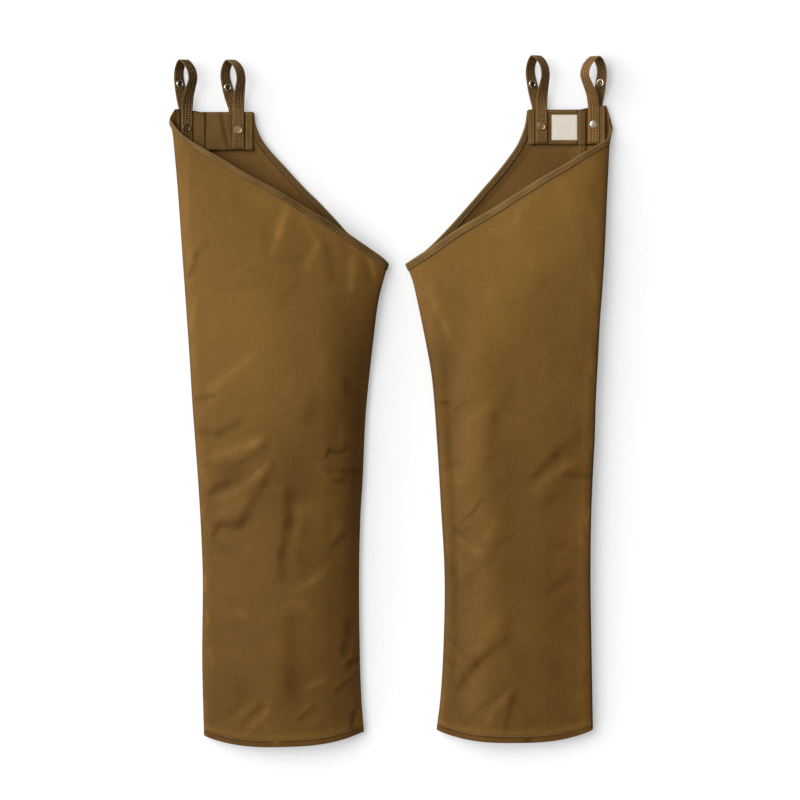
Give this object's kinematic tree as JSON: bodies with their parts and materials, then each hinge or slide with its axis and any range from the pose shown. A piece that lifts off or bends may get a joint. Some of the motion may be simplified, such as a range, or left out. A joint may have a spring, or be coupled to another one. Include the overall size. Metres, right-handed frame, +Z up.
{
  "type": "chaps",
  "caption": "Pair of waxed canvas chaps laid flat: leg tubes with slanting bound fronts, raised hollow-cut backs, waist bands, snap belt loops and turned hems.",
  "frame": {"origin": "middle of the pair's box, on the surface it lies on", "axes": "+Y from the hems to the waist, +Z up from the surface, +X to the leg on the right as seen from above"},
  "size_m": [0.7442, 1.1582, 0.0407],
  "materials": {
    "canvas": "waxed cotton canvas, tan brown, dull sheen",
    "binding": "waxed cotton binding, folded and stitched",
    "strap": "folded waxed canvas strap, stitched in rows",
    "snap": "antique brass snap",
    "label": "woven cream label, unprinted"
  },
  "bodies": {
    "root": {"front_left": "canvas", "front_binding_left": "binding", "back_left": "canvas", "back_binding_left": "binding", "waist_band_left": "canvas", "seam_strip_left": "canvas", "belt_loop_left_outer": "strap", "snap_cap_left_outer": "snap", "snap_ring_left_outer": "snap", "belt_loop_left_inner": "strap", "snap_cap_left_inner": "snap", "snap_ring_left_inner": "snap", "front_right": "canvas", "front_binding_right": "binding", "back_right": "canvas", "back_binding_right": "binding", "waist_band_right": "canvas", "seam_strip_right": "canvas", "belt_loop_right_outer": "strap", "snap_cap_right_outer": "snap", "snap_ring_right_outer": "snap", "belt_loop_right_inner": "strap", "snap_cap_right_inner": "snap", "snap_ring_right_inner": "snap", "label_right": "label"}
  },
  "joints": []
}
